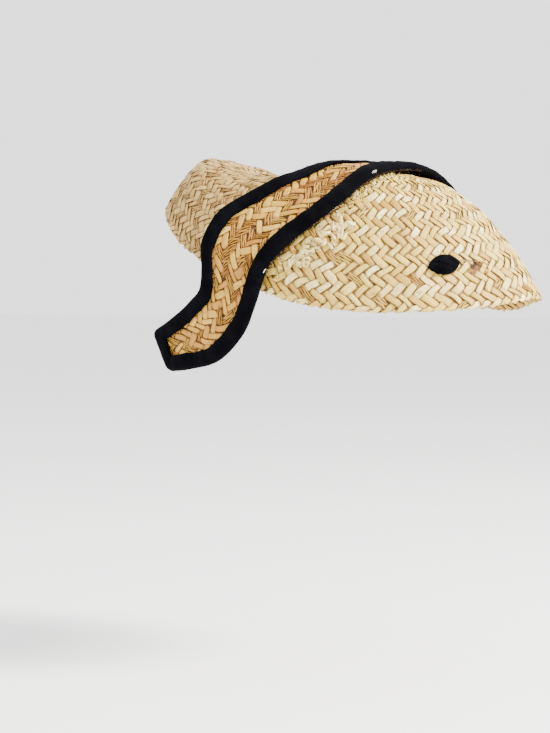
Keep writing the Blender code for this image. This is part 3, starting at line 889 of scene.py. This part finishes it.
def frayTree():
    # scatters one curl over given points, each with its own turn, size and tone
    tree, given = newTree(
        "frayedEnds", Object="curl", Float="small large dark pale", Int="seed", Material="straw")
    wire, seed = given["Geometry"], given["seed"]
    turned = wire.vector(seed.chance(1, -0.7, 0.7), seed.chance(2, -0.5, 0.2), seed.chance(3, 0.0, 6.28))
    size = seed.chance(4, given["small"], given["large"])
    laid = wire.node("GeometryNodeInstanceOnPoints", {
        "Points": wire, "Instance": given["curl"].shape(), "Rotation": turned,
        "Scale": wire.vector(size, seed.chance(5, 0.6, 1.5), size),
    })
    endTree(laid.grown(seed.chance(6, given["dark"], given["pale"]), given["straw"]))
    return tree


endsTree = frayTree()


def frayPiece(name, shape, material):
    dice = np.random.default_rng(shape["seed"])
    along, out = (dice.uniform(*shape[key], shape["count"]) for key in ("span", "out"))
    spots = newObject("spots", np.stack([along, out, 0 * out], axis=1), [])
    made = grow(name, endsTree, spots, {**shape, "curl": curlPiece(shape), "straw": material})
    along, out, rise = readPoints(made.data).T
    height = shape["base"] + rise
    places = edgePlaces(along, out + 1.0, height * shape["onVelvet"])
    if not shape["onVelvet"]:
        x, y = places[:, 0], places[:, 1]
        places = onShell(x, y, height + lumps(x, y))
    writePoints(made.data, places)
    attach(made, "root")


fuzzAndShade = threadMaterial("fuzzAndShade", (0.035, 0.018, 0.008))
frayPiece("pulledLoops", loopsFray, creamStraw)
frayPiece("frayedEnds", endsFray, creamStraw)
frayPiece("velvetFuzz", fuzzFray, fuzzAndShade)
print("frayed ends made")


# Velvet: near black with a navy bloom, and a short pile
def velvetMaterial(name, colour):
    material, shader, wire = newMaterial(name, {
        "Specular IOR Level": 0.02, "Sheen Weight": 0.008, "Sheen Roughness": 0.5,
        "Sheen Tint": (0.5, 0.55, 0.8, 1.0)})
    nap = wire.noise(wire.objectPlace(), 900.0)
    brushed = wire.noise(wire.objectPlace(), 120.0, detail=3.0)
    shade = brushed.between(0.35, 0.7).mixed(colour, tuple(2.2 * c for c in colour))
    bump = wire.bump(nap + brushed * 0.5, 0.6, 0.0003)
    feed(shader, Base_Color=shade, Roughness=0.82 + nap * 0.16, Normal=bump)
    return material


bindingVelvet = velvetMaterial("bindingVelvet", (0.0009, 0.0009, 0.0014))
binding = dict(
    reach=7.2, innerRadius=0.5, nose=1.3, slot=0.9, skin=2.25, stations=260, cornerSteps=20, endSteps=14,
    pile=9000, pileLength=0.5, lean=0.7, seed=5,
)


def bindingRail():
    # along, across and the inward direction at each station, all round the strip
    reach, tight = binding["reach"], binding["innerRadius"]
    inset = reach + tight
    leg, bend = inset - cornerRadius, cornerRadius * np.pi / 2

    def corner(end, way, side):
        # the inner edge turns tighter than the outer one
        out = []
        for share in np.linspace(0, 1, binding["cornerSteps"] + 1)[1:]:
            gone = share * (2 * leg + bend)
            turn = np.clip((gone - leg) / cornerRadius, 0, np.pi / 2)
            fromEnd = cornerRadius * (1 - np.sin(turn)) + max(leg - gone, 0)
            fromSide = cornerRadius * (1 - np.cos(turn)) + max(gone - leg - bend, 0)
            toEnd = (reach + tight * (1 - np.sin(share * np.pi / 2)) - fromEnd) / reach
            toSide = (reach + tight * (1 - np.cos(share * np.pi / 2)) - fromSide) / reach
            s = end - way * fromEnd
            c = float(np.interp(s, halfKnots, halfValues)) - fromSide
            out.append((s, side * c, -way * toEnd, -side * toSide))
        flat = [(end, out[-1][1] * k, -way, 0.0) for k in np.linspace(1, -1, binding["endSteps"])[1:-1]]
        return out + flat + [(s, -c, ds, -dc) for s, c, ds, dc in out[::-1]]

    straight = np.linspace(inset, sashLength - inset, binding["stations"])
    halves = np.interp(straight, halfKnots, halfValues)
    rows = [(s, h, 0.0, -1.0) for s, h in zip(straight, halves)] + corner(sashLength, 1, 1)
    rows += [(s, -h, 0.0, 1.0) for s, h in zip(straight[::-1], halves[::-1])] + corner(0.0, -1, -1)
    return np.array(rows)


def foldSection():
    # inward distance and height of each point, from the outer leaf round the nose to the inner leaf
    reach, skin, slot, nose = (binding[key] for key in ("reach", "skin", "slot", "nose"))
    leaf = [
        (reach + 0.1, slot), (reach + 0.25, skin * 0.72), (reach - 0.35, skin), (3.4, skin * 1.04),
        (1.6, skin * 1.03), (0.2, skin * 0.92), (-0.8, skin * 0.62), (-nose, skin * 0.2),
    ]
    return leaf + [(inward, -height) for inward, height in leaf[::-1]] + [(-0.3, -slot), (-0.3, slot)]


rail = bindingRail()
railRun = np.cumsum(np.linalg.norm(np.diff(rail[:, :2], axis=0, append=rail[:1, :2]), axis=1))
section = foldSection()
faceOver = binding["slot"] + 0.05  # past this height a point of the section is on a leaf's face


def bindingPoints():
    wander = 0.28 * np.sin(railRun * 0.21 + 1.0) + 0.18 * np.sin(railRun * 0.63 + 2.0)
    puff = 1 + 0.05 * np.sin(railRun * 0.35) + 0.04 * np.sin(railRun * 0.9 + 0.7)
    lines = []
    for inward, height in section:
        deep = inward + wander * (inward > 3)
        s = rail[:, 0] + rail[:, 2] * deep
        c = rail[:, 1] + rail[:, 3] * deep
        heights = height * np.where(abs(height) > faceOver, puff, 1.0)
        lines.append(sashAt(s, c) + sashNormal(s, c) * heights[:, None])
    return np.stack(lines, axis=1).reshape(-1, 3)


bindingFaces = tubeFaces(len(rail), len(section), flipped=True, closed=True)
bindingBand = newObject("velvetBinding", bindingPoints(), bindingFaces, [bindingVelvet])


# Pile: short hairs standing on a velvet surface
def pileTree():
    tree, given = newTree(
        "velvetPile", Object="hair", Float="density lean", Int="seed", Material="velvet", Bool="keepSurface")
    wire, seed = given["Geometry"], given["seed"]
    scatter = tree.nodes.new("GeometryNodeDistributePointsOnFaces")
    scatter.distribute_method = "RANDOM"
    for name, value in (("Mesh", wire), ("Density", given["density"]), ("Seed", seed)):
        tree.links.new(value.socket, scatter.inputs[name])
    values = {0: (-1.0, -1.0, -1.0), 1: (1.0, 1.0, 1.0), 8: seed}
    random = wire.node("FunctionNodeRandomValue", values, data_type="FLOAT_VECTOR")
    scaled = wire.node("ShaderNodeVectorMath", {0: random, "Scale": given["lean"]}, operation="SCALE")
    normal = Wire(tree, scatter.outputs["Normal"])
    lean = wire.node("ShaderNodeVectorMath", {0: normal, 1: scaled}, operation="ADD")
    laid = wire.node("GeometryNodeInstanceOnPoints", {
        "Points": Wire(tree, scatter.outputs["Points"]), "Instance": given["hair"].shape(),
        "Rotation": wire.node("FunctionNodeAlignRotationToVector", {"Vector": lean}, axis="Z"),
        "Scale": seed.chance(1, 0.6, 1.2),
    })
    plain = wire.node("GeometryNodeRealizeInstances", {"Geometry": laid})
    kept = {"Switch": given["keepSurface"], "True": wire}
    surface = wire.node("GeometryNodeSwitch", kept, input_type="GEOMETRY")
    joined = wire.gathered("GeometryNodeJoinGeometry", [plain, surface])
    endTree(wire.node("GeometryNodeSetMaterial", {"Geometry": joined, "Material": given["velvet"]}))
    return tree


velvetTree = pileTree()
hairWidth = 0.05


def withPile(name, base, material, shape, keepSurface):
    # the shape's pile is how many hairs the whole surface has
    x, y = -hairWidth / 2, hairWidth * 0.87
    places = [(hairWidth, 0, 0), (x, y, 0), (x, -y, 0), (0, 0, shape["pileLength"])]
    hair = newObject("hair", places, [(0, 1, 3), (1, 2, 3), (2, 0, 3), (2, 1, 0)])
    density = shape["pile"] / sum(p.area for p in base.data.polygons)
    made = grow(name, velvetTree, base, {
        **shape, "hair": hair, "density": float(density), "velvet": material, "keepSurface": keepSurface})
    made.data.shade_smooth()
    return made


pileBase = bindingBand.copy()
pileBase.data = bindingBand.data.copy()
scene.collection.objects.link(pileBase)
bindingPile = withPile("bindingPile", pileBase, bindingVelvet, binding, False)
for piece in (bindingBand, bindingPile):
    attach(piece, "root")
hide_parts("sash_binding")

# The section's points that lie on a leaf's face
leafPoints = np.array([point for point in section if abs(point[1]) > faceOver])

# Tab: a small padded leaf of the same velvet
tab = dict(
    centre=(44.2, 72.2), towards=(37.8, 77.8), length=17.2, width=10.8, pointed=0.55, rise=1.7, edge=0.9,
    gap=0.2, turns=72, rings=[0.12, 0.25, 0.38, 0.5, 0.62, 0.74, 0.84, 0.92, 0.97, 1.0],
    pile=900, pileLength=0.5, lean=0.8, seed=9,
)
tabVelvet = velvetMaterial("tabVelvet", (0.0011, 0.0011, 0.0016))
tabX, tabY = np.array(tab["centre"])
tabCentre = onShell(tabX, tabY, 0.0)
tabNormal = shellNormal(tabX, tabY)
tabAim = onShell(*np.array(tab["towards"]), 0.0) - tabCentre
tabLong = unit(tabAim - tabNormal * (tabAim @ tabNormal))
tabWide = np.cross(tabNormal, tabLong)


def tabPlace(a, b, lift):
    # plane coordinates of the leaf, brought onto the shell step by step
    place = tabCentre + a[:, None] * tabLong + b[:, None] * tabWide
    for step in range(12):
        miss = place[:, 2] - shellHeight(place[:, 0], place[:, 1])
        place = place - shellNormal(place[:, 0], place[:, 1]) * (miss * tabNormal[2])[:, None]
    return place + shellNormal(place[:, 0], place[:, 1]) * lift[:, None]


def tabLeaf():
    turns = np.linspace(0, 2 * np.pi, tab["turns"], endpoint=False)
    rings, gap, edge = np.array(tab["rings"]), tab["gap"], tab["edge"]
    across = np.sin(turns) * np.abs(np.sin(turns)) ** tab["pointed"]
    a = np.outer(rings, tab["length"] / 2 * np.cos(turns)).ravel()
    b = np.outer(rings, tab["width"] / 2 * across).ravel()
    ring = np.repeat(rings, len(turns))
    wrinkle = 0.22 * np.sin(a * 0.9 + b * 1.7 + 0.6) + 0.14 * np.sin(b * 3.1 - a * 0.6)
    wrinkle = wrinkle + 0.1 * np.sin(a * 2.6 + b)
    rise = edge * ease((1.06 - ring) / 0.14) + tab["rise"] * (1 - ring**2.2) + wrinkle * (1 - ring**6)
    a, b = np.concatenate([[0], a]), np.concatenate([[0], b])
    top = tabPlace(a, b, gap + np.concatenate([[edge + tab["rise"] + 0.12], np.maximum(rise, 0.3)]))
    bottom = tabPlace(a, b, 0 * a + gap)
    offset, count, faces = len(top), len(turns), []
    rim = 1 + (len(rings) - 1) * count
    for j in range(count):
        k = (j + 1) % count
        faces += [(0, 1 + j, 1 + k), (offset, offset + 1 + k, offset + 1 + j)]
        for p in range(1, rim, count):
            q = p + count
            faces.append((p + j, q + j, q + k, p + k))
            faces.append((offset + p + k, offset + q + k, offset + q + j, offset + p + j))
        faces.append((rim + k, rim + j, offset + rim + j, offset + rim + k))
    return newObject("tabLeaf", np.concatenate([top, bottom]), faces, [tabVelvet])


velvetTab = withPile("velvetTab", tabLeaf(), tabVelvet, tab, True)
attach(velvetTab, "root")
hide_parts("velvet_tab")
print("tab made")

# Pale floor and soft light
floorReach, floorLevel = 15000.0, -260.0
corners = [(x * floorReach, y * floorReach, floorLevel) for x, y in ((-1, -1), (1, -1), (1, 1), (-1, 1))]
floorMaterial = newMaterial("paleFloor", {
    "Base Color": (0.93, 0.93, 0.925, 1.0), "Roughness": 0.9, "Specular IOR Level": 0.1})[0]
floor = newObject("floor", corners, [(0, 1, 2, 3)], [floorMaterial])

world = bpy.data.worlds.new("studio")
world.use_nodes = True
backdrop = world.node_tree.nodes["Background"].inputs
backdrop["Color"].default_value = (1.0, 1.0, 1.0, 1.0)
backdrop["Strength"].default_value = 2.2
scene.world = world
lightAim = Vector((0.0, 0.0, -0.02))


def softLight(name, place, size, power, colour):
    data = bpy.data.lights.new(name, "AREA")
    data.shape, data.size, data.energy, data.color = "DISK", size, power, colour
    lamp = bpy.data.objects.new(name, data)
    lamp.location = place
    lamp.rotation_euler = (lightAim - Vector(place)).to_track_quat("-Z", "Y").to_euler()
    scene.collection.objects.link(lamp)


softLight("keyLight", (-0.15, 1.25, 0.95), 0.45, 110.0, (1.0, 0.97, 0.92))
softLight("fillLight", (1.3, -0.9, 0.5), 0.9, 12.0, (1.0, 0.96, 0.92))
print("light set")
